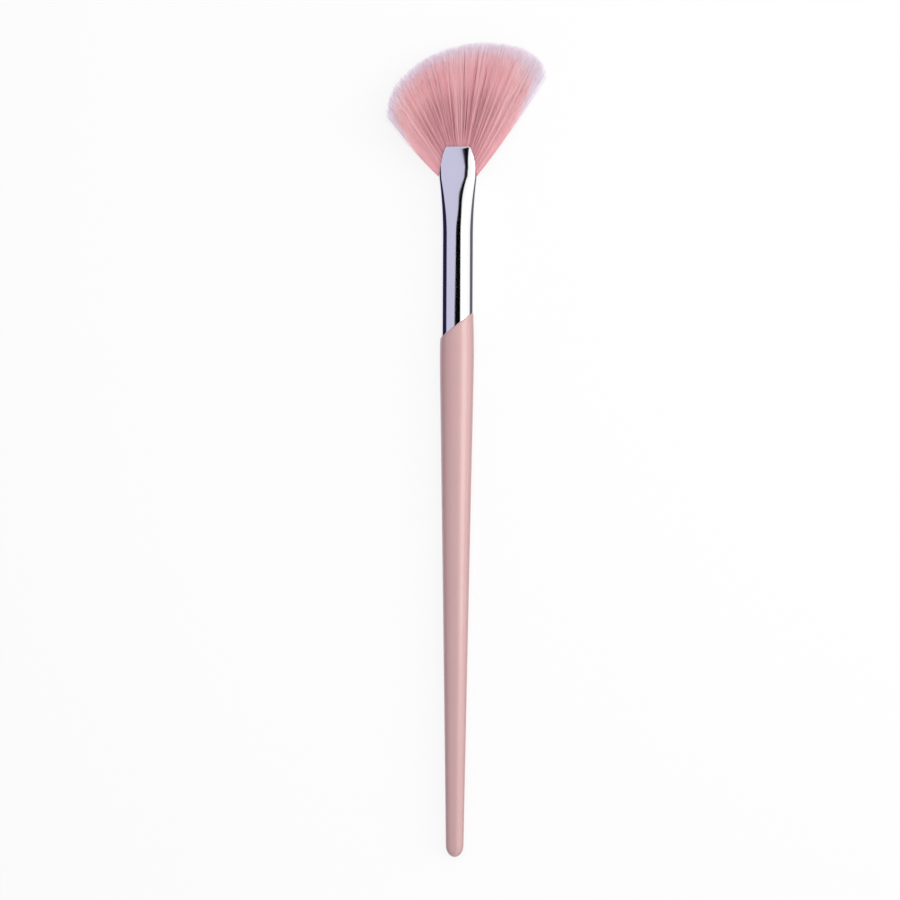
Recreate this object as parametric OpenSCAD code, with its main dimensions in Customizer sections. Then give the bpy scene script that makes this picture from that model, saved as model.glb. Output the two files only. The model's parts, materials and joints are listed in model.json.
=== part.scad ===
// Fan makeup brush: a tapered lacquered handle, a metal ferrule pressed flat at its mouth,
// and a thin fan of hair that is tied, glued and spread by the ferrule.
// Each piece is drawn upright: the tail's tip is at the origin, Z runs up the handle,
// X runs across the fan and the front faces -Y. lay_down() then puts the brush on its side
// as it comes to rest, on the handle's belly, the tail and one corner of the fan.

/* [Handle] */
// Length from the tip of the tail to the middle of the slanted shoulder
handle_len = 116.3; // [100:0.1:140]
// Diameter where the taper meets the round tail
tail_d = 3.9; // [3:0.1:5]
// Length of the round tail
tail_round = 2.6; // [1:0.1:4]
// How far the widest ring lies below the middle of the shoulder
belly_drop = 6.5; // [5:0.5:12]
// Length over which the taper eases into the widest ring
belly_ease = 5; // [4:1:30]
// How much the taper is waisted half way up, measured on its radius
waist = 0.03; // [0.01:0.01:0.3]
// How much the widest ring's radius exceeds the shoulder's
belly_swell = 0.1; // [0.06:0.02:0.4]
// Angle of the shoulder, which rises towards +X
shoulder_slant = 38; // [0:1:42]
// How far the shoulder stands proud of the ferrule all round
shoulder_step = 0.15; // [0.05:0.05:0.5]
// Length of the tenon above the middle of the shoulder
tenon_len = 12.5; // [8:0.5:14]
// Chamfer at the end of the tenon
tenon_chamfer = 0.5; // [0.2:0.1:1]

/* [Ferrule] */
// Outside diameter of the round tube
ferrule_d = 7; // [6.4:0.1:9]
// Thickness of the metal
ferrule_wall = 0.35; // [0.25:0.05:0.5]
// Length from the middle of the shoulder to the mouth
ferrule_len = 39; // [36:0.5:50]
// Width of the flattened end, which the metal's girth limits
mouth_w = 8.3; // [7.4:0.1:9]
// Width of the straight edge across the top of each tongue
tongue_w = 5.2; // [3:0.1:6.5]
// How far the mouth is cut down at the sides, so that the hair can spread
mouth_drop = 7; // [4:0.5:9]
// Curve of the side cuts: 1 is a straight chamfer and 2 is a quarter of an ellipse
cut_form = 1.4; // [1:0.1:2.4]
// Height of the crease across each tongue, above the foot of the side cuts
crease_rise = 2.7; // [0:0.1:3.5]
// How far each tongue leans in towards the hair, from its crease to the mouth
tongue_lean = 0.3; // [0:0.1:0.6]
// Length over which the round tube is pressed flat, below the side cuts
press_len = 12.5; // [9:0.5:14]
// How flat the pressed faces are: 2 is an ellipse, more is flatter
press_form = 3; // [2.2:0.1:4]

/* [Hair] */
// Length of the middle hairs beyond the mouth
hair_len = 21.7; // [16:0.1:30]
// Angle of the hairs at the left edge of the fan
spread_left = 41; // [25:1:50]
// Angle of the hairs at the right edge of the fan
spread_right = 34; // [25:1:50]
// How far the fan's straight edges bow out on the way to its corners
edge_bow = 0.8; // [0:0.1:1.5]
// How much further the hair reaches at the right edge than in the middle
fan_lean = 5.2; // [0:0.2:7]
// How much less far it reaches at both edges, which rounds the fan's top
fan_dome = 2; // [0:0.2:6]
// Share of the reach that is rounded off at the fan's two corners
corner_round = 0.1; // [0:0.01:0.2]
// Thickness of the fan where it is fullest
fan_thick = 3; // [2:0.1:5]
// Thickness of the fan at the tips
tip_thick = 0.7; // [0.3:0.1:1.5]
// Number of locks side by side on each face
locks = 26; // [14:1:30]
// Depth of the grooves between locks, as a share of the thickness
groove_share = 0.5; // [0.1:0.05:0.7]
// Depth of the notches between the tips of neighbouring locks
tip_notch = 0.9; // [0:0.1:2]
// How much the locks differ in length
tip_scatter = 0.45; // [0:0.05:1]

/* [Root] */
// Thickness of the resin's wall round the root
plug_wall = 0.45; // [0.4:0.05:0.8]
// Length of the tied root
root_len = 4.5; // [3.5:0.5:6]
// Depth of the root in the resin
root_sunk = 2.8; // [1.5:0.1:3]
// Thickness of the resin under the root
plug_floor = 1.6; // [1:0.1:3]
// Gap between the end of the tenon and the resin
plug_gap = 0.6; // [0.2:0.1:0.9]
// Diameter of the binding thread
thread_d = 0.3; // [0.2:0.02:0.4]
// Turns of thread round the root
thread_turns = 5; // [3:1:6]

/* [Fits] */
// Clearance round the tenon and the resin, inside the ferrule
seat_play = 0.03; // [0.02:0.01:0.08]
// Clearance round the hair, inside the ferrule, the resin and the binding
hair_play = 0.06; // [0.04:0.01:0.1]

/* [Hidden] */

// Points round the ferrule, steps along the parts that are curves, and facets of round parts
ring_points = 64;
press_steps = 12;
profile_steps = 10;
round_facets = 96;
thread_facets = 24;
// Where the seam of the turned handle lies: near the front, which faces up and away from the ground
seam_turn = -95;

// Handle, from the driving sizes
ferrule_r = ferrule_d / 2;
bore_r = ferrule_r - ferrule_wall;
shoulder_r = ferrule_r + shoulder_step;
belly_r = shoulder_r + belly_swell;
belly_z = handle_len - belly_drop;
ease_z = belly_z - belly_ease;
tail_r = tail_d / 2;
// The taper's slope where it meets the ease, along which the slope is half as steep
taper_end = (belly_r - tail_r + 4 * waist) / (ease_z - tail_round + belly_ease / 2);
ease_r = belly_r - taper_end * belly_ease / 2;
shoulder_rise = shoulder_r * tan(shoulder_slant);
tenon_top = handle_len + tenon_len;
// How deep the tenon's foot is rooted below the shoulder's lowest side
tenon_rooted = 2;
// How far the handle's outline runs on past the shoulder, before the slanted cut
outline_spare = 1;

// Ferrule. A pressed tube keeps its girth, which gives the depth of the flattened end.
mouth_z = handle_len + ferrule_len;
side_z = mouth_z - mouth_drop;
press_z = side_z - press_len;
head_depth = (PI * ferrule_d - 2 * mouth_w) / (PI - 2);
// The faces go on closing in at the pressing's last slope, up to the crease
crease_z = side_z + crease_rise;
press_slope = (ferrule_d - head_depth) / press_len;

// Root of the hair, in its resin
plug_r = bore_r - seat_play;
root_r = plug_r - plug_wall - hair_play;
plug_z = tenon_top + plug_gap;
root_z = plug_z + plug_floor;
tied_z = root_z + root_len;
thread_r = thread_d / 2;
// Share of its thickness by which each turn of thread is sunk into the next
thread_lap = 0.1;
thread_pitch = (1 - thread_lap) * thread_d;

// The fan's edges are straight lines that leave the side cuts and meet at its apex
exit_x = mouth_w / 2 - ferrule_wall - hair_play;
apex_depth = 2 * exit_x / (tan(spread_left) + tan(spread_right));
apex_x = exit_x - apex_depth * tan(spread_right);
apex_z = side_z - apex_depth;
reach = mouth_z + hair_len - apex_z;
middle_angle = (spread_right - spread_left) / 2;
half_angle = (spread_right + spread_left) / 2;

// Fixed seeds keep the locks alike from one build to the next
length_seed = 7;
fullness_seed = 11;
leanest_lock = 0.82;
lock_length = rands(-1, 1, locks, length_seed);
lock_fullness = rands(leanest_lock, 1, locks, fullness_seed);
// How far the borders between locks stray, in lock widths, and waves of that for each lock
lock_stray = 0.35;
stray_rate = 0.31;
// Where the columns of points lie across a lock, the rings along the spread hair, and those
// of the hair inside the ferrule, which start above the tie
lock_columns = [0, 0.2, 0.5, 0.8];
spread_steps = [0, 0.04, 0.1, 0.19, 0.3, 0.42, 0.55, 0.68, 0.8, 0.9, 0.96, 1];
packed_steps = [0, 0.3, 0.6, 0.85];
packed_above_tie = 2;
// Share of its way at which the hair bends outwards, and how far the middle hairs first rise
bend_share = 0.3;
bend_rise = 1.2;
// Share of the way at which the fan is fullest, and how late it thins towards the tips
full_share = 0.3;
late_thinning = 2.2;
// Share of the way over which the grooves between locks deepen
groove_reach = 0.35;
// How sharply the fan's corners are rounded off
corner_power = 9;
// Least half thickness of the hair along the fan's edges, and along those of the round root
edge_half = 0.12;
root_edge_half = 0.02;

function mix(a, b, t) = a + (b - a) * t;
function clamp01(t) = min(1, max(0, t));
function smooth(t) = let (c = clamp01(t)) c * c * (3 - 2 * c);

// How far the ferrule is pressed at height z, from 0, round, to 1, flat
function pressed(z) = pow(clamp01((z - press_z) / press_len), 2);

// One quarter-symmetric outline of the ferrule at height z, drawn in by inset
function half_width(z, inset) = mix(ferrule_r, mouth_w / 2, pressed(z)) - inset;
function tongue_fall(z) =
    press_slope * min(crease_rise, max(0, z - side_z))
        + tongue_lean * clamp01((z - crease_z) / (mouth_z - crease_z));
function half_depth(z, inset) = mix(ferrule_r, head_depth / 2, pressed(z)) - tongue_fall(z) - inset;
function form(z) = mix(2, press_form, pressed(z));
function rounded(c, power) = sign(c) * pow(abs(c), 2 / power);

// Height of the mouth's edge where it is x from the middle, measured on the outside
function mouth_edge(x) =
    let (t = clamp01((abs(x) - tongue_w / 2) / (mouth_w / 2 - tongue_w / 2)))
    mouth_z - mouth_drop * (1 - pow(1 - pow(t, cut_form), 1 / cut_form));

// A point on the ferrule's wall: share runs from the start of the pressing to the mouth
function wall_point(angle, share, inset) =
    let (
        edge = mouth_edge(mouth_w / 2 * rounded(cos(angle), press_form)),
        z = mix(press_z, edge, share)
    )
    [
        half_width(z, inset) * rounded(cos(angle), form(z)),
        half_depth(z, inset) * rounded(sin(angle), form(z)),
        z
    ];

// The foot of the wall, on the slanted shoulder
function foot_point(angle, inset) =
    let (x = (ferrule_r - inset) * cos(angle))
    [x, (ferrule_r - inset) * sin(angle), handle_len + x * tan(shoulder_slant)];

function wall_angles() = [for (i = [0 : ring_points - 1]) 360 * i / ring_points];
function foot_ring(inset) = [for (a = wall_angles()) foot_point(a, inset)];
function wall_ring(share, inset) = [for (a = wall_angles()) wall_point(a, share, inset)];

// Where each column of the hair lies across the fan, from -1 at the left to 1 at the right.
// Neighbouring locks differ in width, by a slow wave that is 0 at both edges.
column_shares = [
    for (lock = [0 : locks - 1], c = lock_columns) (lock + c) / locks,
    1
];
function across(share) =
    let (stray = sin(360 * locks * stray_rate * share) * sin(180 * share))
    2 * (share + lock_stray / locks * stray) - 1;
function lock_of(column) = min(locks - 1, floor(column / len(lock_columns)));

// How full a lock is at a column: 0 in the groove beside it, 1 along its middle
function crest(column) =
    let (c = 2 * lock_columns[column % len(lock_columns)] - 1)
    sqrt(1 - c * c);
// The back's locks lie behind the front's grooves
function back_crest(column) =
    let (c = 1 - abs(2 * lock_columns[column % len(lock_columns)] - 1))
    sqrt(1 - c * c);

// The tip of the hair at u across the fan, on the rounded and notched outline
function tip_point(u, column) =
    let (
        angle = middle_angle + half_angle * u,
        full = reach + fan_lean * u - fan_dome * u * u,
        trim = tip_notch * (1 - crest(column)) - tip_scatter * crest(column) * lock_length[lock_of(column)],
        length = full * (1 - corner_round * pow(abs(u), corner_power)) - trim
    )
    [apex_x + length * sin(angle), apex_z + length * cos(angle)];

// The hair's middle plane: from the mouth's edge it leaves upwards and bends out to its tip
function exit_point(u) = [exit_x * u, mouth_edge(mouth_w / 2 * u)];
function spread_point(u, column, s) =
    let (
        start = exit_point(u),
        end = tip_point(u, column),
        bend = start + (end - start) * bend_share + [edge_bow * u, bend_rise * (1 - abs(u))]
    )
    (1 - s) * (1 - s) * start + 2 * s * (1 - s) * bend + s * s * end;

// Half the fan's thickness at u across and s along, with its grooves
function edge_share(u) = pow(1 - pow(abs(u), press_form), 1 / press_form);
function spread_half(u, s, crest, fullness) =
    let (
        at_exit = half_depth(exit_point(u).y, ferrule_wall + hair_play),
        from_mouth = mix(at_exit, fan_thick / 2, smooth(s / full_share)),
        body = mix(from_mouth, tip_thick / 2, pow(s, late_thinning)),
        deepened = smooth(s / groove_reach)
    )
    max(edge_half, body * edge_share(u))
        * mix(1, fullness, deepened)
        * (1 - groove_share * deepened * (1 - crest));

// One ring of the hair: the front from left to right, then the back from right to left
function hair_ring(points) =
    let (last = len(points) - 1)
    [
        for (p = points) [p[0], -p[1], p[3]],
        for (i = [last : -1 : 0]) [points[i][0], points[i][2], points[i][3]]
    ];
function spread_ring(s) = hair_ring([
    for (column = [0 : len(column_shares) - 1])
        let (
            u = across(column_shares[column]),
            p = spread_point(u, column, s),
            fullness = lock_fullness[lock_of(column)]
        )
        [
            p.x,
            spread_half(u, s, crest(column), fullness),
            spread_half(u, s, back_crest(column), fullness),
            p.y
        ]
]);

// Rings of the root, which is round, and of the hair that fills the pressed ferrule
function round_ring(z, r) = hair_ring([
    for (share = column_shares)
        let (u = across(share), y = max(root_edge_half, r * sqrt(1 - u * u)))
        [r * u, y, y, z]
]);
function packed_ring(share) = hair_ring([
    for (column_share = column_shares)
        let (
            u = across(column_share),
            z = mix(tied_z + packed_above_tie, exit_point(u).y, share),
            inset = ferrule_wall + hair_play,
            y = max(edge_half, half_depth(z, inset) * pow(1 - pow(abs(u), form(z)), 1 / form(z)))
        )
        [half_width(z, inset) * u, y, y, z]
]);
hair_rings = concat(
    [round_ring(root_z, root_r), round_ring(tied_z, root_r)],
    [for (share = packed_steps) packed_ring(share)],
    [for (s = spread_steps) spread_ring(s)]
);

// Resting pose: the tail and the belly lie on the ground, and the brush rolls until the fan touches
rest_slope = max((ease_r - tail_r) / (ease_z - tail_round), (belly_r - tail_r) / (belly_z - tail_round));
lay_tilt = atan(rest_slope);
cone_apex_z = tail_round - tail_r / rest_slope;
function axis_height(z) = (z - cone_apex_z) * sin(lay_tilt);
function roll_to_touch(p) =
    let (drop = axis_height(p.z) / cos(lay_tilt), arm = norm([p.x, p.y]))
    p.x > drop ? asin(drop / arm) - atan2(p.y, p.x) : 90;
lay_roll = min([for (ring = hair_rings, p = ring) roll_to_touch(p)]);

function rolled(p) = [
    p.x * cos(lay_roll) - p.y * sin(lay_roll),
    p.z,
    -p.x * sin(lay_roll) - p.y * cos(lay_roll)
];
function laid(p) = let (q = rolled(p)) [
    q.x,
    q.y * cos(lay_tilt) - q.z * sin(lay_tilt),
    q.y * sin(lay_tilt) + q.z * cos(lay_tilt) + axis_height(0)
];
laid_hair = [for (ring = hair_rings, p = ring) laid(p)];
centre_x = (max([for (p = laid_hair) p.x]) + min([for (p = laid_hair) p.x])) / 2;
centre_y = (max([for (p = laid_hair) p.y]) + laid([0, 0, 0]).y) / 2;

module lay_down() {
    translate([-centre_x, -centre_y, axis_height(0)])
        rotate([lay_tilt, 0, 0])
            rotate([0, lay_roll, 0])
                rotate([-90, 0, 0])
                    children();
}

// Faces between stacked rings of equal length. A loop joins the last ring to the first.
// An open stack is closed by strips, because each end ring is a front and a back edge.
module skin(rings, loop = false) {
    n = len(rings[0]);
    m = len(rings);
    last = (m - 1) * n;
    walls = [
        for (i = [0 : (loop ? m : m - 1) - 1], j = [0 : n - 1])
            let (
                a = i * n + j,
                b = i * n + (j + 1) % n,
                c = ((i + 1) % m) * n + (j + 1) % n,
                d = ((i + 1) % m) * n + j
            )
            each [[a, d, c], [a, c, b]]
    ];
    strips = loop ? [] : [
        for (j = [0 : n / 2 - 2])
            let (f = j, g = j + 1, h = n - 2 - j, k = n - 1 - j)
            each [[f, g, h], [f, h, k], [last + g, last + f, last + k], [last + g, last + k, last + h]]
    ];
    polyhedron([for (ring = rings) each ring], concat(walls, strips), convexity = 10);
}

// The handle's outline: round tail, waisted taper, eased belly and the fall to the shoulder
module handle_outline() {
    top_z = handle_len + shoulder_rise + outline_spare;
    tail = [
        for (i = [0 : profile_steps - 1])
            let (a = 90 * i / profile_steps)
            [tail_r * sin(a), tail_round * (1 - cos(a))]
    ];
    waisted = [
        for (i = [0 : profile_steps - 1])
            let (t = i / profile_steps)
            [
                mix(tail_r, ease_r, t) - 4 * waist * t * (1 - t),
                mix(tail_round, ease_z, t)
            ]
    ];
    fall = [
        for (i = [1 : profile_steps])
            let (z = mix(belly_z, top_z, i / profile_steps))
            [belly_r - belly_swell * pow((z - belly_z) / belly_drop, 2), z]
    ];
    polygon(concat(tail, waisted, [[ease_r, ease_z], [belly_r, belly_z]], fall, [[0, top_z]]));
}

// The tenon's outline, from inside the handle to its chamfered end
module tenon_outline() {
    tenon_r = bore_r - seat_play;
    foot_z = handle_len - shoulder_rise - tenon_rooted;
    polygon([
        [0, foot_z],
        [tenon_r, foot_z],
        [tenon_r, tenon_top - tenon_chamfer],
        [tenon_r - tenon_chamfer, tenon_top],
        [0, tenon_top]
    ]);
}

module handle() {
    cut = 4 * handle_len;
    color([0.82, 0.68, 0.67]) {
        difference() {
            rotate([0, 0, seam_turn]) rotate_extrude($fn = round_facets) handle_outline();
            translate([0, 0, handle_len])
                rotate([0, -shoulder_slant, 0])
                    translate([-cut / 2, -cut / 2, 0])
                        cube([cut, cut, cut]);
        }
        rotate([0, 0, seam_turn]) rotate_extrude($fn = round_facets) tenon_outline();
    }
}

module ferrule() {
    outer = concat([foot_ring(0)], [for (i = [0 : press_steps]) wall_ring(i / press_steps, 0)]);
    inner = concat(
        [for (i = [press_steps : -1 : 0]) wall_ring(i / press_steps, ferrule_wall)],
        [foot_ring(ferrule_wall)]
    );
    color([0.8, 0.8, 0.86]) skin(concat(outer, inner), loop = true);
}

module hair() {
    color([0.86, 0.62, 0.65]) skin(hair_rings);
}

// Cast resin that fills the tube under the hair and grips its root
module root_plug() {
    height = plug_floor + root_sunk;
    color([0.9, 0.87, 0.78]) difference() {
        translate([0, 0, plug_z]) cylinder(r = plug_r, h = height, $fn = round_facets);
        translate([0, 0, root_z]) cylinder(r = root_r + hair_play, h = height, $fn = round_facets);
    }
}

// Turns of thread round the root, each sunk a little into the next, standing on the resin
module root_binding() {
    first_z = root_z + root_sunk + thread_r;
    color([0.93, 0.91, 0.87])
        for (turn = [0 : thread_turns - 1])
            translate([0, 0, first_z + turn * thread_pitch])
                rotate_extrude($fn = round_facets)
                    translate([root_r + hair_play + thread_r, 0])
                        circle(r = thread_r, $fn = thread_facets);
}

lay_down() handle();
lay_down() ferrule();
lay_down() hair();
lay_down() root_plug();
lay_down() root_binding();
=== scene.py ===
import json
import math

import bpy
import numpy as np
from mathutils import Matrix, Vector


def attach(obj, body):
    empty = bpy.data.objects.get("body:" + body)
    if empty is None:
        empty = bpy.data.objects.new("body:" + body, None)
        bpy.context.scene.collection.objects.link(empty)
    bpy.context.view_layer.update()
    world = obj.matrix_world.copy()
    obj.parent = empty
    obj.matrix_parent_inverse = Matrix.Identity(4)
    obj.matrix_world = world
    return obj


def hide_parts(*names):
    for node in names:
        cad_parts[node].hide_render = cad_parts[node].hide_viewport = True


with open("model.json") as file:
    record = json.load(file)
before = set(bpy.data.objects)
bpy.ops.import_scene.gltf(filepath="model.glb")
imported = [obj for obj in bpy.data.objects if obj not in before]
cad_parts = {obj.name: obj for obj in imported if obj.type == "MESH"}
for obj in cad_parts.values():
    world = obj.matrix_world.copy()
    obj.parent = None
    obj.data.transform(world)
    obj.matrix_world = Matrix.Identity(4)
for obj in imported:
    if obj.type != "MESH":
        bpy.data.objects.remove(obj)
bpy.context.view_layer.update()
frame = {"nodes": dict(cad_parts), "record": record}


# Where the brush lies, from the places that the record names
def mount(name):
    """The place and the direction of one of the record's mounts."""
    found = next(m for m in frame["record"]["mounts"] if m["name"] == name)
    return Vector(found["pos_m"]), Vector(found["axis"]).normalized()


tail_tip = mount("tail")[0]
along = mount("tube")[1]
front = mount("head_flat")[1]
across = along.cross(front).normalized()
MM = 0.001
upright_to_lying = Matrix.Translation(tail_tip) @ Matrix((across, -front, along)).transposed().to_4x4()
lay_down = upright_to_lying @ Matrix.Scale(MM, 4)


def drawn_box(node):
    """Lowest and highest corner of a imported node, in millimetres on the upright brush."""
    upright = lay_down.inverted()
    points = [upright @ v.co for v in frame["nodes"][node].data.vertices]
    return Vector(map(min, *points)), Vector(map(max, *points))


handle_box = drawn_box("handle")
ferrule_box = drawn_box("ferrule")
hair_box = drawn_box("hair")

# Sizes of the handle
belly_r = handle_box[1].x
tenon_top = handle_box[1].z
shoulder_z = 116.3
shoulder_slant = math.radians(38)
tail_r = 1.95
tail_round = 2.6
belly_z = shoulder_z - 6.5
belly_ease = 5.0
belly_swell = 0.1
waist = 0.03
ease_z = belly_z - belly_ease
taper_end = (belly_r - tail_r + 4 * waist) / (ease_z - tail_round + belly_ease / 2)
lip_round = 0.35
lip_depth = 0.16
tenon_chamfer = 0.5

# Sizes of the ferrule
wall = 0.35
tube_r = ferrule_box[1].y
mouth_half = ferrule_box[1].x
mouth_z = ferrule_box[1].z
mouth_drop = 7.0
side_z = mouth_z - mouth_drop
press_len = 12.5
press_z = side_z - press_len
press_form = 3.0
tongue_half = 2.6
crease_rise = 2.7
crease_z = side_z + crease_rise
tongue_lean = 0.6
tongue_curl = 0.2
cut_form = 1.4
head_half = (math.pi * tube_r - 2 * mouth_half) / (math.pi - 2)
press_slope = 2 * (tube_r - head_half) / press_len
rim_round = 0.3
seat_play = 0.03
tenon_r = tube_r - wall - seat_play

# Sizes of the hair
hair_play = 0.06
root_z = hair_box[0].z
root_r = 2.61
tied_z = root_z + 4.5
hair_len = 21.7
left_edge = math.radians(41)
right_edge = math.radians(34)
edge_bow = 0.8
bend_share = 0.3
bend_rise = 1.2
fan_lean = 5.2
fan_dome = 2.0
corner_round = 0.1
corner_power = 9
fan_thick = 3.0
tip_thick = 0.7
full_share = 0.3
late_thinning = 2.2
# How much faster the hair's places spread across the mouth than across the fan, at its middle
mouth_spread = 1.9
locks = 26
groove_share = 0.3
groove_reach = 0.35
exit_x = mouth_half - wall - hair_play
apex_depth = 2 * exit_x / (math.tan(left_edge) + math.tan(right_edge))
apex_x = exit_x - apex_depth * math.tan(right_edge)
apex_z = side_z - apex_depth
reach = mouth_z + hair_len - apex_z
middle_angle = (right_edge - left_edge) / 2
half_angle = (right_edge + left_edge) / 2


# Arithmetic that reads the same for plain numbers and inside a node tree
class Formula:
    """A number inside a node tree. Arithmetic on it adds the matching Math nodes."""

    def __init__(self, tree, socket):
        self.tree = tree
        self.socket = socket

    def __add__(self, other):
        return worked_out("ADD", None, self, other)

    def __sub__(self, other):
        return worked_out("SUBTRACT", None, self, other)

    def __rsub__(self, other):
        return worked_out("SUBTRACT", None, other, self)

    def __mul__(self, other):
        return worked_out("MULTIPLY", None, self, other)

    def __truediv__(self, other):
        return worked_out("DIVIDE", None, self, other)

    def __neg__(self):
        return worked_out("MULTIPLY", None, self, -1)

    __radd__ = __add__
    __rmul__ = __mul__


def connect(tree, value, socket):
    """Feeds a Formula, a socket or a plain value into a node's socket."""
    if isinstance(value, Formula):
        tree.links.new(value.socket, socket)
    elif isinstance(value, bpy.types.NodeSocket):
        tree.links.new(value, socket)
    else:
        socket.default_value = value


def worked_out(operation, plain, *values):
    """A Math node's result where a value is a Formula, and otherwise what plain gives."""
    tree = next((v.tree for v in values if isinstance(v, Formula)), None)
    if tree is None:
        return plain(*values)
    node = tree.nodes.new("ShaderNodeMath")
    node.operation = operation
    for socket, value in zip(node.inputs, values):
        connect(tree, value, socket)
    return Formula(tree, node.outputs[0])


def larger(a, b):
    return worked_out("MAXIMUM", np.maximum, a, b)


def smaller(a, b):
    return worked_out("MINIMUM", np.minimum, a, b)


def distance(a):
    return worked_out("ABSOLUTE", np.abs, a)


def power(a, b):
    return worked_out("POWER", np.power, a, b)


def sine(a):
    return worked_out("SINE", np.sin, a)


def cosine(a):
    return worked_out("COSINE", np.cos, a)


def whole(a):
    return worked_out("FLOOR", np.floor, a)


def mix(a, b, share):
    return a + (b - a) * share


def clamped(a):
    return smaller(larger(a, 0.0), 1.0)


def smooth(a):
    c = clamped(a)
    return c * c * (3 - 2 * c)


# The ferrule's shape, as the part's source draws it, with tongues that curl in further at their tips
def pressed(z):
    """How far the tube is pressed at height z, from 0, round, to 1, flat."""
    share = clamped((z - press_z) / press_len)
    return share * share


def half_width(z, inset):
    return mix(tube_r, mouth_half, pressed(z)) - inset


def half_depth(z, inset):
    up_to_crease = press_slope * smaller(larger(z - side_z, 0.0), crease_rise)
    above = clamped((z - crease_z) / (mouth_z - crease_z))
    lean = tongue_lean * above * (1 + tongue_curl - tongue_curl * above)
    return mix(tube_r, head_half, pressed(z)) - up_to_crease - lean - inset


def squareness(z):
    return mix(2.0, press_form, pressed(z))


def mouth_edge(x):
    """Height of the mouth's edge where it is x from the middle."""
    share = clamped((distance(x) - tongue_half) / (mouth_half - tongue_half))
    return mouth_z - mouth_drop * (1 - power(1 - power(share, cut_form), 1 / cut_form))


# Meshes drawn as stacked rings
def signed_power(values, exponent):
    return np.sign(values) * np.abs(values) ** exponent


def ring_mesh(name, rings, closed_ends=False):
    """A smooth mesh from stacked rings of equal length, given as arrays of points on the upright brush.
    A ring of one repeated point is a pole. Without closed ends, the last ring joins the first."""
    count = len(rings[0])
    points = np.concatenate(rings)
    stacks = len(rings) - (1 if closed_ends else 0)
    faces = []
    for i in range(stacks):
        low = i * count
        high = (i + 1) % len(rings) * count
        faces += [
            (low + j, low + (j + 1) % count, high + (j + 1) % count, high + j) for j in range(count)
        ]
    if closed_ends:
        faces.append(tuple(reversed(range(count))))
        faces.append(tuple(range((len(rings) - 1) * count, len(rings) * count)))
    mesh = bpy.data.meshes.new(name)
    mesh.from_pydata([tuple(p) for p in points], [], faces)
    mesh.transform(lay_down)
    mesh.validate()
    mesh.polygons.foreach_set("use_smooth", [True] * len(mesh.polygons))
    mesh.update()
    piece = bpy.data.objects.new(name, mesh)
    bpy.context.scene.collection.objects.link(piece)
    return piece


def turned_ring(r, z, count):
    """A ring about the handle's axis. r and z are numbers, or arrays of one value for each point."""
    angle = 2 * np.pi * np.arange(count) / count
    x = r * np.cos(angle)
    y = r * np.sin(angle)
    return np.stack([x, y, z + 0 * x], axis=1)


# Handle: round tail, slightly waisted taper, eased belly, slanted shoulder with a soft lip, tenon
handle_facets = 112
# Angle of the first ring round the tail's tip, and the gap above the tail's round end
tail_start = 0.04
tail_gap = 0.4
# The gap above the ease's foot, the spacing of the belly's rings, and how far below the slant they end
belly_gap = 0.7
belly_step = 0.8
below_slant = 2.0


def handle_radius(z):
    """Radius of the lacquered handle at height z above its round tail."""
    share = (z - tail_round) / (ease_z - tail_round)
    ease_r = belly_r - taper_end * belly_ease / 2
    waisted = mix(tail_r, ease_r, share) - 4 * waist * share * (1 - share)
    eased = belly_r - taper_end * np.maximum(belly_z - z, 0) ** 2 / (2 * belly_ease)
    falling = belly_r - belly_swell * ((z - belly_z) / (shoulder_z - belly_z)) ** 2
    return np.where(z < ease_z, waisted, np.where(z < belly_z, eased, falling))


def shoulder_ring(inset, sunk):
    """A ring of the slanted shoulder: inset from the handle's side, and sunk below the slant."""
    angle = 2 * np.pi * np.arange(handle_facets) / handle_facets
    height = shoulder_z + belly_r * np.cos(angle) * math.tan(shoulder_slant)
    r = handle_radius(height) - inset
    height = shoulder_z + r * np.cos(angle) * math.tan(shoulder_slant) - sunk
    return turned_ring(r, height, handle_facets)


def make_handle():
    quarter = np.linspace(tail_start, np.pi / 2, 14)
    rings = [
        turned_ring(tail_r * math.sin(a), tail_round * (1 - math.cos(a)), handle_facets) for a in quarter
    ]
    level_end = shoulder_z - belly_r * math.tan(shoulder_slant) - below_slant
    taper = np.linspace(tail_round + tail_gap, ease_z, 30)
    belly = np.arange(ease_z + belly_gap, level_end, belly_step)
    for z in np.concatenate([taper, belly]):
        rings.append(turned_ring(handle_radius(z), z, handle_facets))
    low = rings[-1][:, 2]
    top = shoulder_ring(0, lip_round)
    for share in np.linspace(0, 1, 12)[1:]:
        height = mix(low, top[:, 2], share)
        rings.append(turned_ring(handle_radius(height), height, handle_facets))
    for a in np.linspace(0, np.pi / 2, 7)[1:]:
        rings.append(shoulder_ring(lip_depth * (1 - math.cos(a)), lip_round * (1 - math.sin(a))))
    rings.append(shoulder_ring(belly_r - tenon_r, 0))
    rings.append(turned_ring(tenon_r, tenon_top - tenon_chamfer, handle_facets))
    rings.append(turned_ring(tenon_r - tenon_chamfer, tenon_top, handle_facets))
    return ring_mesh("handle_lacquered", rings, closed_ends=True)


# Ferrule: a thin tube pressed flat, its mouth cut down at the sides, with a rounded rim
ferrule_facets = 168
# Share of the round tube that its cut edge takes
foot_edge = 0.006


def ferrule_ring(share, inset, below_edge=0.0):
    """A ring of the pressed wall: share runs from the start of the pressing to the mouth's edge."""
    angle = 2 * np.pi * (np.arange(ferrule_facets) + 0.5) / ferrule_facets
    flat = 2 / press_form
    edge = mouth_edge(mouth_half * signed_power(np.cos(angle), flat)) - below_edge
    z = mix(press_z, edge, share)
    form = 2 / squareness(z)
    x = half_width(z, inset) * signed_power(np.cos(angle), form)
    y = half_depth(z, inset) * signed_power(np.sin(angle), form)
    return np.stack([x, y, z], axis=1)


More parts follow.
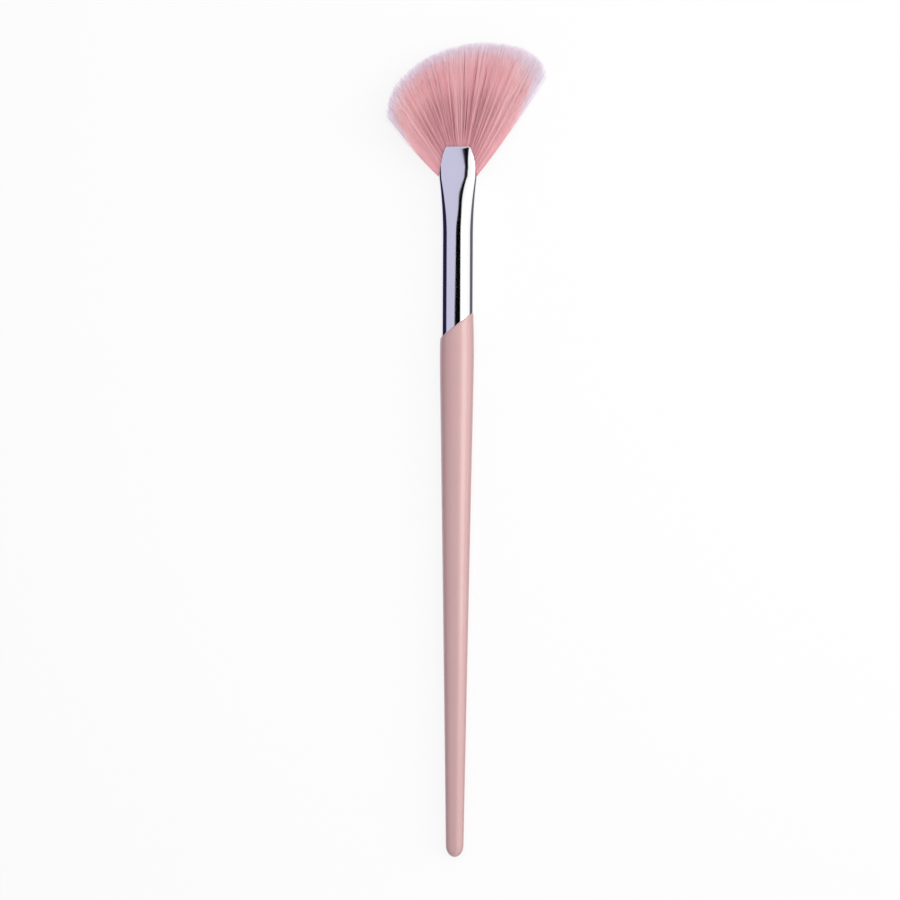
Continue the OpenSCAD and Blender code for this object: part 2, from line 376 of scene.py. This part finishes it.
def foot_ring(share, inset):
    """A ring of the round tube: share runs from the slanted shoulder to the start of the pressing."""
    angle = 2 * np.pi * (np.arange(ferrule_facets) + 0.5) / ferrule_facets
    r = tube_r - inset
    foot = shoulder_z + r * np.cos(angle) * math.tan(shoulder_slant)
    return np.stack([r * np.cos(angle), r * np.sin(angle), mix(foot, press_z, share)], axis=1)


def make_ferrule():
    pressed_shares = np.linspace(0, 1, 72)[1:]
    outer = [foot_ring(s, 0) for s in [0, foot_edge, *np.linspace(2 * foot_edge, 1, 8)]]
    outer += [ferrule_ring(s, 0, rim_round) for s in pressed_shares]
    rim = [
        ferrule_ring(1, rim_round * (1 - math.cos(a)), rim_round * (1 - math.sin(a)))
        for a in np.linspace(0, np.pi / 2, 6)[1:]
    ]
    inner = [ferrule_ring(s, wall, 0.06) for s in pressed_shares[::-4]]
    inner += [foot_ring(s, wall) for s in np.linspace(1, 0, 4)]
    return ring_mesh("ferrule_polished", outer + rim + inner)


# The fan of hair, made by one node tree that is run once for each layer
class StrandTree:
    """A geometry node tree under construction, with named inputs whose values are kept for the modifier."""

    def __init__(self, name):
        self.tree = bpy.data.node_groups.new(name, "GeometryNodeTree")
        self.values = {}
        self.tree.interface.new_socket("Geometry", in_out="INPUT", socket_type="NodeSocketGeometry")
        self.tree.interface.new_socket("Geometry", in_out="OUTPUT", socket_type="NodeSocketGeometry")
        self.group_in = self.tree.nodes.new("NodeGroupInput")
        self.group_out = self.tree.nodes.new("NodeGroupOutput")

    def take(self, name, kind, value):
        """Adds a named input and returns its socket inside the tree."""
        made = self.tree.interface.new_socket(name, in_out="INPUT", socket_type=kind)
        self.values[made.identifier] = value
        return next(s for s in self.group_in.outputs if s.identifier == made.identifier)

    def size(self, name, value):
        """Adds a named size and returns it as a Formula."""
        return Formula(self.tree, self.take(name, "NodeSocketFloat", float(value)))

    def node(self, kind, **inputs):
        """Adds a node and feeds its inputs, named in lower case with underscores."""
        made = self.tree.nodes.new(kind)
        for name, value in inputs.items():
            wanted = name.replace("_", " ")
            socket = next(s for s in made.inputs if s.name.lower() == wanted and s.enabled)
            connect(self.tree, value, socket)
        return made

    def chance(self, low, high, of, salt):
        """A random number for each value of of, always the same for the same salt."""
        made = self.node("FunctionNodeRandomValue", min=low, max=high, id=of)
        connect(self.tree, self.seed + salt, made.inputs["Seed"])
        return Formula(self.tree, made.outputs["Value"])


ring_corners = 3
strand_steps = 13
inside_steps = 2
# How much closer the steps lie near the mouth
steps_crowded = 0.25

# A strand's random place across is spread by the first, and by the second towards the fan's edges
edge_reach = 0.95
edge_gather = 0.045
# How far the borders between locks sway and ripple, in lock widths, and the angles of those waves, in
# radians: to half the fan's width, to half its depth, and at the start
border_sway = 0.8
border_waves = 9.0
border_lean = 1.5
border_ripple = 0.22
ripple_waves = 31.0
ripple_start = 2.0
# How far the back's locks are shifted against the front's, in lock widths
back_shifted = 0.5
# Depths at which wisps lie, how far each depth's wisps are shifted against the last one's, in wisp
# widths, and the gap between their numbers
depth_layers = 7
layer_offset = 0.37
wisps_apart = 1000
# Shares of its way by which a strand is gathered and from which it loosens, and how much of the
# gathering goes
gathered_by = 0.45
loosened_from = 0.7
loosened = 0.45
# Share of the way at which drifting strands cross, and how far they drift, in half widths of the fan
drift_from = 0.25
wisp_drift = 0.035
strand_drift = 0.02

# Lengths in millimetres: by chance, how much shorter the hair is on both faces, and how far the tips
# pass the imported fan's outline
length_chance = 0.12
outer_shorter = 0.6
past_outline = 0.3
# How far a wisp may bow to either side, in millimetres
bow_chance = 0.45
# Fullness of the leanest lock, and the shallowest groove as a share of the deepest
leanest_lock = 0.88
shallowest_groove = 0.2
# Share of the way from which grooves fade, over how much of it, and how much of them goes
grooves_fade_from = 0.4
grooves_fade_over = 0.4
grooves_faded = 0.85
# Least half thickness of the hair along the fan's edges, and how far the strands stay inside the
# packed root's side and above its end, in millimetres
edge_half = 0.12
root_inset = 0.1
root_lift = 0.05
# From how far out strands are more wayward, up to twice, and how much a strand thins to its tip
fuzzy_from = 0.8
tip_taper = 0.7

# Tone of a strand, from 0, darkest, to 1, palest: its middle, and how much is chance for each lock,
# wisp and strand
tone_middle = 0.43
lock_tones = 0.4
wisp_tones = 0.6
strand_tones = 0.15
# Painted light and shade in a strand's tone: how much paler both edges are painted, how much darker a band
# left of the middle is painted, how much painted shade darkens the grooves, and how much paler the left
# edge is painted again. Places and widths run across the fan from -1 to 1.
pale_edges = 0.55
dim_place = -0.3
dim_half = 0.35
dimmed = 0.12
low_left_from = -0.5
low_left_over = 0.3
low_left_paler = 0.15
groove_painted_shade = 0.2

# How much sooner the strands at the fan's sides turn pale, and the outermost ones
sides_pale_from = 0.6
right_paler = 0.06
left_paler = 0.04
edge_pale_from = 0.93
edge_paler = 0.35

# The colour's map: its margin, the span of its tones, a strand's width on it, and how much of
# its height goes to the hidden root and to the spread hair
map_margin = 0.02
map_tones = 0.94
map_strand = 0.004
map_hidden = 0.06
map_spread = 0.9


def strand_tree():
    """Strands from their tied root, through the ferrule, out to the fan's rounded edge."""
    made = StrandTree("fan_strands")
    tree = made.tree
    count = made.take("Strands", "NodeSocketInt", 100)
    made.seed = Formula(tree, made.take("Seed", "NodeSocketInt", 1))
    finish = made.take("Hair", "NodeSocketMaterial", None)
    thick = made.size("Strand thickness", 0.06)
    layer_back = made.size("Layer's back", -1)
    layer_front = made.size("Layer's front", 1)
    lock_count = made.size("Locks", locks)
    wisp_count = made.size("Wisps", 70)
    lock_pull = made.size("Pull of a lock", 0.04)
    wisp_pull = made.size("Pull of a wisp", 0.34)
    flatness = made.size("Depth of a strand by its width", 0.6)
    stray = made.size("Stray", 0.55)
    shortest = made.size("Shortest by", 1.2)
    long_reach = made.size("Reach", reach)
    lean = made.size("Lean", fan_lean)
    dome = made.size("Dome", fan_dome)

    # One straight strand of unit size, placed once for each strand of the layer
    straight = made.node(
        "GeometryNodeMeshCylinder", vertices=ring_corners, side_segments=strand_steps, radius=1.0, depth=1.0
    )
    raised = made.node("GeometryNodeTransform", geometry=straight.outputs["Mesh"], translation=(0, 0, 0.5))
    spots = made.node("GeometryNodePoints", count=count)
    placed = made.node(
        "GeometryNodeInstanceOnPoints", points=spots.outputs[0], instance=raised.outputs["Geometry"]
    )
    numbered = made.node("GeometryNodeCaptureAttribute")
    numbered.domain = "INSTANCE"
    numbered.capture_items.new("INT", "strand")
    tree.links.new(placed.outputs[0], numbered.inputs["Geometry"])
    tree.links.new(made.node("GeometryNodeInputIndex").outputs[0], numbered.inputs["strand"])
    bundle = made.node("GeometryNodeRealizeInstances", geometry=numbered.outputs["Geometry"])
    strand = Formula(tree, numbered.outputs["strand"])

    place = made.node("ShaderNodeSeparateXYZ")
    tree.links.new(made.node("GeometryNodeInputPosition").outputs[0], place.inputs[0])
    corner_x = Formula(tree, place.outputs[0])
    corner_y = Formula(tree, place.outputs[1])
    step = Formula(tree, place.outputs[2]) * strand_steps
    out = clamped((step - inside_steps) / (strand_steps - inside_steps))
    s = mix(out, out * out, steps_crowded)
    inside = clamped(step - 1)

    # Its own place in the fan: across from -1 to 1, and v through from -1, back, to 1, front
    w = made.chance(-1.0, 1.0, strand, 1)
    u_strand = w * (edge_reach + edge_gather * w * w)
    v = made.chance(layer_back, layer_front, strand, 2)
    back_shift = smaller(whole(v), 0.0) * -back_shifted

    # Its ring has three corners, with one flat side turned outwards, to the front or to the back
    outward = whole(v) * 2 + 1
    ring_side = corner_y * outward
    ring_depth = corner_x * outward * flatness

    # Its lock and its wisp, each with a centre across the fan
    sway = border_sway * sine(u_strand * border_waves + v * border_lean)
    ripple = border_ripple * sine(u_strand * ripple_waves + ripple_start)
    lock_place = (u_strand + 1) / 2 * lock_count + back_shift + sway + ripple
    lock = whole(lock_place)
    in_lock = (lock_place - lock) * 2 - 1
    layer_place = whole((v + 1) * (depth_layers / 2))
    wisp_place = (u_strand + 1) / 2 * wisp_count + layer_place * layer_offset
    wisp = whole(wisp_place) + layer_place * wisps_apart
    wisp_centre = whole(wisp_place) + 0.5
    let_go = loosened * smooth((s - loosened_from) / (1 - loosened_from))
    pulling = smooth(s / gathered_by) * (1 - let_go)
    u_wisp = u_strand + (wisp_centre - wisp_place) / wisp_count * 2 * wisp_pull * pulling
    u_lock = u_wisp - in_lock / lock_count * lock_pull * pulling
    room = 1 - u_strand * u_strand
    own_drift = made.chance(-1.0, 1.0, strand, 13) * strand_drift
    drift = (made.chance(-1.0, 1.0, wisp, 3) * wisp_drift + own_drift) * (s - drift_from) * room
    u = larger(smaller(u_lock + drift, 1.0), -1.0)

    # Its length, on the fan's rounded outline
    short = made.chance(0.0, 1.0, strand, 4)
    lock_long = made.chance(-length_chance, length_chance, lock, 5)
    wisp_long = made.chance(-length_chance, length_chance, wisp, 6)
    trim = short * short * shortest + v * v * outer_shorter - lock_long - wisp_long
    rounding = 1 - corner_round * power(distance(u), corner_power)
    full = (long_reach + lean * u - dome * u * u) * rounding
    angle = middle_angle + half_angle * u
    length = full + past_outline - trim
    tip_x = apex_x + length * sine(angle)
    tip_z = apex_z + length * cosine(angle)

    # Its way: it leaves the mouth's edge upwards and bends out to its tip
    mouth_share = u * (mouth_spread + (1 - mouth_spread) * distance(u))
    start_x = exit_x * mouth_share
    start_z = mouth_edge(mouth_half * mouth_share)
    wisp_bow = made.chance(-bow_chance, bow_chance, wisp, 15) * room
    bend_x = mix(start_x, tip_x, bend_share) + edge_bow * u + wisp_bow
    bend_z = mix(start_z, tip_z, bend_share) + bend_rise * (1 - distance(u))
    rest = 1 - s
    way_x = rest * rest * start_x + 2 * s * rest * bend_x + s * s * tip_x
    way_z = rest * rest * start_z + 2 * s * rest * bend_z + s * s * tip_z

    # Half the fan's thickness there, with its grooves between the locks
    inset = wall + hair_play
    at_exit = half_depth(start_z, inset)
    from_mouth = mix(at_exit, fan_thick / 2, smooth(s / full_share))
    body = mix(from_mouth, tip_thick / 2, power(s, late_thinning))
    across_share = mix(mouth_share, u, s)
    side_share = power(1 - power(distance(across_share), press_form), 1 / press_form)
    fullness = made.chance(leanest_lock, 1.0, lock, 7)
    deepened = smooth(s / groove_reach)
    fading = 1 - grooves_faded * smooth((s - grooves_fade_from) / grooves_fade_over)
    groove_depth = groove_share * made.chance(shallowest_groove, 1.0, lock, 14) * deepened * fading
    off_crest = 1 - power(larger(1 - in_lock * in_lock, 0.0), 0.5)
    groove = 1 - groove_depth * off_crest
    half = larger(body * side_share, edge_half) * mix(1.0, fullness, deepened) * groove
    way_y = -v * half

    # Inside the ferrule it runs from the round root to the pressed mouth
    root_share = u_strand * (mouth_spread + (1 - mouth_spread) * distance(u_strand))
    round_share = power(larger(1 - root_share * root_share, 0.0), 0.5)
    root_x = root_share * (root_r - root_inset)
    root_y = -v * (root_r - root_inset) * round_share
    hidden = clamped(step)
    root_way = mix(root_z + root_lift, tied_z, hidden)
    x = mix(root_x, way_x, inside)
    y = mix(root_y, way_y, inside)
    z = mix(root_way, way_z, inside)

    # A little waywardness, more towards the tips
    wayward = made.chance(-1.0, 1.0, strand, 8)
    wayward_y = made.chance(-1.0, 1.0, strand, 9)
    at_edge = smooth((distance(w) - fuzzy_from) / (1 - fuzzy_from))
    sideways = wayward * wayward * wayward * stray * (1 + at_edge) * s * mix(0.4, 1.0, s)
    outwards = wayward_y * wayward_y * wayward_y * stray * s * s

    # The strand's own thickness, tapered at the tip
    r = thick / 2 * (1 - tip_taper * s * s * s)
    cos_a = cosine(angle)
    sin_a = sine(angle)
    middle = (x + sideways * cos_a, y + outwards, z - sideways * sin_a)
    ring_offset = (ring_side * r * cos_a, ring_depth * r, -(ring_side * r * sin_a))

    # Hair that would pass through the table lies on it instead
    *up, table_start = upright_to_lying[2]
    height = middle[0] * up[0] + middle[1] * up[1] + middle[2] * up[2] + table_start / MM
    lift = larger(r - height, 0.0)
    final = made.node("ShaderNodeCombineXYZ")
    for socket, centre, offset, share in zip(final.inputs, middle, ring_offset, up):
        connect(tree, centre + offset + lift * share, socket)

    # The map that the colour reads: the strand's tone with its painted light and shade across, and the way
    # along the strand upwards
    lock_tone = made.chance(-0.5, 0.5, lock, 10)
    wisp_tone = made.chance(-0.5, 0.5, wisp, 11)
    strand_tone = made.chance(-0.5, 0.5, strand, 12)
    # Painted light and shade: a painted darker band left of the middle, painted paler edges and low left,
    # and painted shade in the grooves between locks
    dim = dimmed * (1 - smooth(distance(u_strand - dim_place) / dim_half))
    low_left = low_left_paler * smooth((low_left_from - u_strand) / low_left_over)
    painted_light = pale_edges * u_strand * u_strand - dim + low_left - groove_painted_shade * off_crest
    by_chance = lock_tones * lock_tone + wisp_tones * wisp_tone + strand_tones * strand_tone
    tone_and_painted_light = clamped(tone_middle + by_chance + painted_light)
    right_side = right_paler * smooth((u_strand - sides_pale_from) / (1 - sides_pale_from))
    left_side = left_paler * smooth((-sides_pale_from - u_strand) / (1 - sides_pale_from))
    outermost = edge_paler * smooth((distance(w) - edge_pale_from) / (1 - edge_pale_from))
    paler = right_side + left_side + outermost
    upwards = inside * map_hidden + clamped(s + paler * s) * map_spread
    map_place = made.node("ShaderNodeCombineXYZ")
    toned = map_margin + map_tones * tone_and_painted_light + (ring_side + 1.0) * map_strand
    connect(tree, toned, map_place.inputs[0])
    connect(tree, map_margin + upwards, map_place.inputs[1])
    mapped = made.node("GeometryNodeStoreNamedAttribute", geometry=bundle.outputs[0], name="OFBake")
    mapped.data_type = "FLOAT2"
    mapped.domain = "CORNER"
    value = next(i for i in mapped.inputs if i.name == "Value" and i.enabled)
    tree.links.new(map_place.outputs[0], value)

    shaped = made.node(
        "GeometryNodeSetPosition", geometry=mapped.outputs[0], position=final.outputs[0]
    )
    flat = made.node("GeometryNodeSetShadeSmooth", geometry=shaped.outputs[0], shade_smooth=False)
    drawn = made.node("GeometryNodeGeometryToInstance", geometry=flat.outputs[0])
    laid = made.node("GeometryNodeTransform", geometry=drawn.outputs[0])
    laid.inputs["Translation"].default_value = upright_to_lying.to_translation()
    laid.inputs["Rotation"].default_value = upright_to_lying.to_euler()
    laid.inputs["Scale"].default_value = (MM, MM, MM)
    solid = made.node("GeometryNodeRealizeInstances", geometry=laid.outputs[0])
    dressed = made.node("GeometryNodeSetMaterial", geometry=solid.outputs[0], material=finish)
    tree.links.new(dressed.outputs[0], made.group_out.inputs[0])
    return made


def make_layer(name, strands, material, **sizes):
    """Runs the strand tree for one layer of the fan, and keeps the result as a plain mesh."""
    host = bpy.data.objects.new(name + "_host", bpy.data.meshes.new(name + "_host"))
    bpy.context.scene.collection.objects.link(host)
    grown = host.modifiers.new("strands", "NODES")
    grown.node_group = strands.tree
    inputs = [item for item in strands.tree.interface.items_tree if item.in_out == "INPUT"]
    names = {item.identifier: item.name for item in inputs}
    for identifier, value in strands.values.items():
        wanted = sizes.get(names[identifier], value)
        grown[identifier] = material if names[identifier] == "Hair" else wanted
    evaluated = host.evaluated_get(bpy.context.evaluated_depsgraph_get())
    mesh = bpy.data.meshes.new_from_object(evaluated)
    host.modifiers.remove(grown)
    bpy.data.objects.remove(host)
    mesh.name = name
    piece = bpy.data.objects.new(name, mesh)
    bpy.context.scene.collection.objects.link(piece)
    return piece


# Finishes
def new_material(name):
    """A material with its nodes, and the shader node that its colours feed."""
    material = bpy.data.materials.new(name)
    material.use_nodes = True
    shader = next(n for n in material.node_tree.nodes if n.type == "BSDF_PRINCIPLED")
    return material, material.node_tree, shader


def linear(red, green, blue):
    """A colour as a screen shows it, from 0 to 255, in the renderer's own terms."""
    shares = [c / 255 for c in (red, green, blue)]
    return (*(s / 12.92 if s <= 0.04045 else ((s + 0.055) / 1.055) ** 2.4 for s in shares), 1.0)


def ramp(tree, value, stops):
    """A colour ramp fed by a value, from places to colours."""
    node = tree.nodes.new("ShaderNodeValToRGB")
    node.color_ramp.interpolation = "EASE"
    elements = node.color_ramp.elements
    while len(elements) < len(stops):
        elements.new(0.5)
    for element, (place, colour) in zip(elements, sorted(stops, key=lambda stop: stop[0])):
        element.position = place
        element.color = colour
    connect(tree, value, node.inputs[0])
    return node.outputs[0]


def blended(tree, share, a, b):
    """Two colours mixed by a share."""
    node = tree.nodes.new("ShaderNodeMix")
    node.data_type = "RGBA"
    connect(tree, share, node.inputs[0])
    connect(tree, a, node.inputs[6])
    connect(tree, b, node.inputs[7])
    return node.outputs[2]


def speckle(tree, scale, detail=2.0, stretch=(1, 1, 1)):
    """Noise on the piece's own coordinates, drawn out along the brush by stretch."""
    place = tree.nodes.new("ShaderNodeTexCoord")
    turned = tree.nodes.new("ShaderNodeMapping")
    turned.vector_type = "TEXTURE"
    turned.inputs["Rotation"].default_value = upright_to_lying.to_euler()
    turned.inputs["Scale"].default_value = stretch
    noise = tree.nodes.new("ShaderNodeTexNoise")
    noise.inputs["Scale"].default_value = scale
    noise.inputs["Detail"].default_value = detail
    tree.links.new(place.outputs["Object"], turned.inputs[0])
    tree.links.new(turned.outputs[0], noise.inputs["Vector"])
    return Formula(tree, noise.outputs[0])


def bumped(tree, height, depth, shader):
    """Feeds a height into a shader's normal as a bump of that depth in metres."""
    node = tree.nodes.new("ShaderNodeBump")
    node.inputs["Distance"].default_value = depth
    connect(tree, height, node.inputs["Height"])
    tree.links.new(node.outputs[0], shader.inputs["Normal"])


def lacquer():
    """Blush lacquer over turned wood: a satin colour coat under a clear one."""
    material, tree, shader = new_material("blush_lacquer")
    cloud = speckle(tree, 260, 3.0, (1, 1, 4))
    grain = speckle(tree, 2600, 2.0, (1, 1, 9))
    colour = blended(tree, cloud, linear(212, 172, 169), linear(206, 165, 162))
    fine = blended(tree, 0.05 * grain, colour, linear(190, 150, 147))
    tree.links.new(fine, shader.inputs["Base Color"])
    connect(tree, mix(0.3, 0.4, cloud), shader.inputs["Roughness"])
    shader.inputs["Coat Weight"].default_value = 0.65
    shader.inputs["Coat Roughness"].default_value = 0.16
    bumped(tree, grain, 0.000004, shader)
    return material


def polished_metal():
    """Bright plated metal, drawn along its length, with hazy patches from handling."""
    material, tree, shader = new_material("polished_plating")
    drawn = speckle(tree, 5200, 1.0, (1, 1, 60))
    haze = speckle(tree, 320, 3.0, (1, 1, 3))
    shader.inputs["Metallic"].default_value = 1.0
    colour = blended(tree, haze, linear(252, 252, 254), linear(247, 247, 251))
    tree.links.new(colour, shader.inputs["Base Color"])
    connect(tree, 0.055 + 0.04 * haze + 0.015 * drawn, shader.inputs["Roughness"])
    bumped(tree, drawn, 0.0000006, shader)
    return material


def dyed_hair():
    """Fine synthetic hair, dyed rose, that pales to a lavender white at the tips. Its tone also carries
    painted light and shade, and its root end is darkened with painted shade.
    """
    material, tree, shader = new_material("rose_hair")
    reader = tree.nodes.new("ShaderNodeUVMap")
    reader.uv_map = "OFBake"
    parts = tree.nodes.new("ShaderNodeSeparateXYZ")
    tree.links.new(reader.outputs[0], parts.inputs[0])
    tone_and_painted_light = Formula(tree, parts.outputs[0])
    along_strand = Formula(tree, parts.outputs[1])
    # Both ramps start darker at the hidden root inside the ferrule and just out of its mouth: painted shade
    # where the ferrule and the packed hair shade the strands
    dark = ramp(tree, along_strand, [
        (0.0, linear(160, 90, 101)),
        (0.14, linear(190, 116, 127)),
        (0.50, linear(202, 127, 137)),
        (0.80, linear(248, 178, 183)),
        (0.89, linear(252, 196, 202)),
        (0.94, linear(247, 217, 228)),
        (0.975, linear(242, 225, 239)),
    ])
    light = ramp(tree, along_strand, [
        (0.0, linear(204, 138, 146)),
        (0.14, linear(244, 178, 185)),
        (0.50, linear(250, 191, 195)),
        (0.80, linear(255, 206, 207)),
        (0.89, linear(255, 216, 220)),
        (0.94, linear(251, 229, 238)),
        (0.975, linear(246, 234, 245)),
    ])
    tree.links.new(blended(tree, tone_and_painted_light, dark, light), shader.inputs["Base Color"])
    shader.inputs["Roughness"].default_value = 0.5
    shader.inputs["Specular IOR Level"].default_value = 0.45
    shader.inputs["Sheen Weight"].default_value = 0.8
    shader.inputs["Sheen Roughness"].default_value = 0.5
    shader.inputs["Sheen Tint"].default_value = linear(255, 232, 236)
    return material


def cast_resin():
    """Cloudy amber resin that grips the hair's root."""
    material, tree, shader = new_material("root_resin")
    cloud = speckle(tree, 700, 3.0)
    tree.links.new(
        blended(tree, cloud, linear(226, 214, 180), linear(205, 188, 150)), shader.inputs["Base Color"]
    )
    connect(tree, mix(0.2, 0.35, cloud), shader.inputs["Roughness"])
    return material


def waxed_thread():
    """Waxed cotton thread, with its twist."""
    material, tree, shader = new_material("waxed_thread")
    twist = speckle(tree, 9000, 1.0)
    tree.links.new(
        blended(tree, twist, linear(238, 233, 222), linear(214, 207, 194)), shader.inputs["Base Color"]
    )
    connect(tree, mix(0.55, 0.75, twist), shader.inputs["Roughness"])
    bumped(tree, twist, 0.00003, shader)
    return material


def dress(piece, material):
    piece.data.materials.clear()
    piece.data.materials.append(material)


def dress_node(name, material):
    """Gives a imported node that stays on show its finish."""
    node = frame["nodes"][name]
    for place in node.material_slots:
        place.material = material


# Studio: a white table, soft light, and what the metal sees
table_half = 1.5
# Share of plain white in the table as the camera sees it; the rest shows the shadow
plain_share = 0.8


def make_floor():
    corners = [(x * table_half, y * table_half, 0) for x, y in [(-1, -1), (1, -1), (1, 1), (-1, 1)]]
    mesh = bpy.data.meshes.new("table")
    mesh.from_pydata(corners, [], [(0, 1, 2, 3)])
    floor = bpy.data.objects.new("table", mesh)
    bpy.context.scene.collection.objects.link(floor)
    material = bpy.data.materials.new("white_table")
    material.use_nodes = True
    tree = material.node_tree
    shader = next(n for n in tree.nodes if n.type == "BSDF_PRINCIPLED")
    shader.inputs["Base Color"].default_value = linear(242, 242, 243)
    shader.inputs["Roughness"].default_value = 0.9
    shader.inputs["Specular IOR Level"].default_value = 0.1
    white = tree.nodes.new("ShaderNodeEmission")
    white.inputs["Color"].default_value = (1, 1, 1, 1)
    white.inputs["Strength"].default_value = 1.03
    rays = tree.nodes.new("ShaderNodeLightPath")
    seen = Formula(tree, rays.outputs["Is Camera Ray"]) * plain_share
    mixed = tree.nodes.new("ShaderNodeMixShader")
    connect(tree, seen, mixed.inputs[0])
    tree.links.new(shader.outputs[0], mixed.inputs[1])
    tree.links.new(white.outputs[0], mixed.inputs[2])
    output = next(n for n in tree.nodes if n.type == "OUTPUT_MATERIAL")
    tree.links.new(mixed.outputs[0], output.inputs["Surface"])
    dress(floor, material)
    floor.visible_glossy = False


def facing(tree, direction, axis):
    """How far a direction points along a fixed axis."""
    node = tree.nodes.new("ShaderNodeVectorMath")
    node.operation = "DOT_PRODUCT"
    tree.links.new(direction, node.inputs[0])
    node.inputs[1].default_value = axis
    return Formula(tree, node.outputs["Value"])


def card_edge(pitch, start, bends):
    """A card's edge in degrees of turn. Each bend is the pitch where it starts, the degrees that it
    takes, and how far it shifts the edge."""
    edge = start
    for first, over, shift in bends:
        edge = edge + shift * smooth((pitch - first) / over)
    return edge


def make_surroundings():
    """White walls, and for glossy surfaces a lavender card at the left and a narrow black one above.
    Angles are in degrees: turn from straight in front of the fan to the right, pitch towards its tip."""
    world = bpy.data.worlds.new("studio")
    world.use_nodes = True
    bpy.context.scene.world = world
    tree = world.node_tree
    tree.nodes.clear()
    direction = tree.nodes.new("ShaderNodeTexCoord").outputs["Generated"]
    sideways = facing(tree, direction, across)
    towards = facing(tree, direction, front)
    tipwards = facing(tree, direction, along)
    turn = worked_out("ARCTAN2", None, sideways, towards) * math.degrees(1)
    pitch = worked_out("ARCSINE", None, tipwards) * math.degrees(1)
    black_left = card_edge(pitch, -20, [(3, 2, 9), (6, 9, 13), (20, 7, 6.5)])
    black_right = card_edge(pitch, 22, [(9.5, 9, -7), (21, 5.5, 5)])
    below_lip = 1 - smooth((pitch - 31) / 5)
    past_left = clamped((turn - black_left) / 2 + 0.5)
    before_right = clamped((black_right - turn) / 2 + 0.5)
    in_black = past_left * before_right * below_lip
    at_left = clamped((black_left + black_right - 2 * turn) / 6 + 0.5)
    navy_card = smooth((-80 - turn) / 7) * smooth((turn + 132) / 7)
    grey_card = smooth((turn - 98) / 8) * smooth((150 - turn) / 10)
    lavender = blended(tree, at_left, (1, 1, 1, 1), linear(201, 199, 221))
    pale_rim = blended(tree, smooth((-126 - turn) / 6), lavender, linear(240, 238, 246))
    navy = blended(tree, navy_card, pale_rim, linear(34, 28, 60))
    grey = blended(tree, grey_card, navy, linear(100, 98, 106))
    carded = blended(tree, in_black, grey, (0.0, 0.0, 0.0, 1))
    rays = tree.nodes.new("ShaderNodeLightPath")
    plain = blended(tree, clamped(0.5 - sideways * 0.8), linear(208, 208, 208), linear(184, 182, 191))
    colour = blended(tree, Formula(tree, rays.outputs["Is Glossy Ray"]), plain, carded)
    seen = blended(tree, Formula(tree, rays.outputs["Is Camera Ray"]), colour, (1, 1, 1, 1))
    background = tree.nodes.new("ShaderNodeBackground")
    tree.links.new(seen, background.inputs["Color"])
    background.inputs["Strength"].default_value = 1.0
    output = tree.nodes.new("ShaderNodeOutputWorld")
    tree.links.new(background.outputs[0], output.inputs["Surface"])


def make_lamp(name, over_z, turn, tip, distance_m, width, watts, mirrored):
    """A soft lamp over height over_z of the brush, turned from straight above it to the right, and
    tipped towards the fan's end."""
    aim = tail_tip + along * over_z * MM
    level = front * math.cos(turn) + across * math.sin(turn)
    way = level * math.cos(tip) + along * math.sin(tip)
    place = aim + way * distance_m
    light = bpy.data.lights.new(name, "AREA")
    light.shape = "SQUARE"
    light.size = width
    light.energy = watts
    lamp = bpy.data.objects.new(name, light)
    lamp.location = place
    lamp.rotation_mode = "QUATERNION"
    lamp.rotation_quaternion = (aim - place).to_track_quat("-Z", "Y")
    lamp.visible_glossy = mirrored
    bpy.context.scene.collection.objects.link(lamp)


# Camera: square to the fan, with a long lens, at the photograph's distance and framing
picture_px = 900
px_per_mm = 4.573
tail_px = (454.6, 857.0)
brush_lean = math.radians(0.27)
lens_mm = 100
sensor_mm = 36


def make_camera():
    right = across * math.cos(brush_lean) + along * math.sin(brush_lean)
    up = along * math.cos(brush_lean) - across * math.sin(brush_lean)
    half_px = picture_px / 2
    centre = tail_tip
    centre = centre - right * (tail_px[0] - half_px) / px_per_mm * MM
    centre = centre + up * (tail_px[1] - half_px) / px_per_mm * MM
    distance_m = picture_px / px_per_mm * MM * lens_mm / sensor_mm
    data = bpy.data.cameras.new("camera")
    data.lens = lens_mm
    data.sensor_width = sensor_mm
    data.clip_start = 0.01
    camera = bpy.data.objects.new("camera", data)
    turned = Matrix((right, up, front)).transposed().to_4x4()
    camera.matrix_world = Matrix.Translation(centre + front * distance_m) @ turned
    bpy.context.scene.collection.objects.link(camera)
    bpy.context.scene.camera = camera


make_camera()
make_floor()
make_surroundings()
make_lamp(
    "window", over_z=116, turn=math.radians(52), tip=math.radians(5),
    distance_m=0.9, width=0.55, watts=2.3, mirrored=True
)
make_lamp(
    "front_fill", over_z=164, turn=math.radians(6), tip=0.0,
    distance_m=0.35, width=0.3, watts=0.5, mirrored=False
)

handle = make_handle()
dress(handle, lacquer())
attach(handle, "root")
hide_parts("handle")

ferrule = make_ferrule()
dress(ferrule, polished_metal())
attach(ferrule, "root")
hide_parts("ferrule")

hair_finish = dyed_hair()
strands = strand_tree()
layers = {"hair_front": (0.6, 1.0, 11), "hair_middle": (-0.6, 0.6, 12), "hair_back": (-1.0, -0.6, 13)}
for name, (back, fore, seed) in layers.items():
    sizes = {"Strands": 2300, "Seed": seed * 100, "Layer's back": back, "Layer's front": fore}
    layer = make_layer(name, strands, hair_finish, **sizes)
    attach(layer, "root")
    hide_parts("hair")

dress_node("root_plug", cast_resin())
dress_node("root_binding", waxed_thread())

bpy.context.scene.view_settings.view_transform = "Standard"
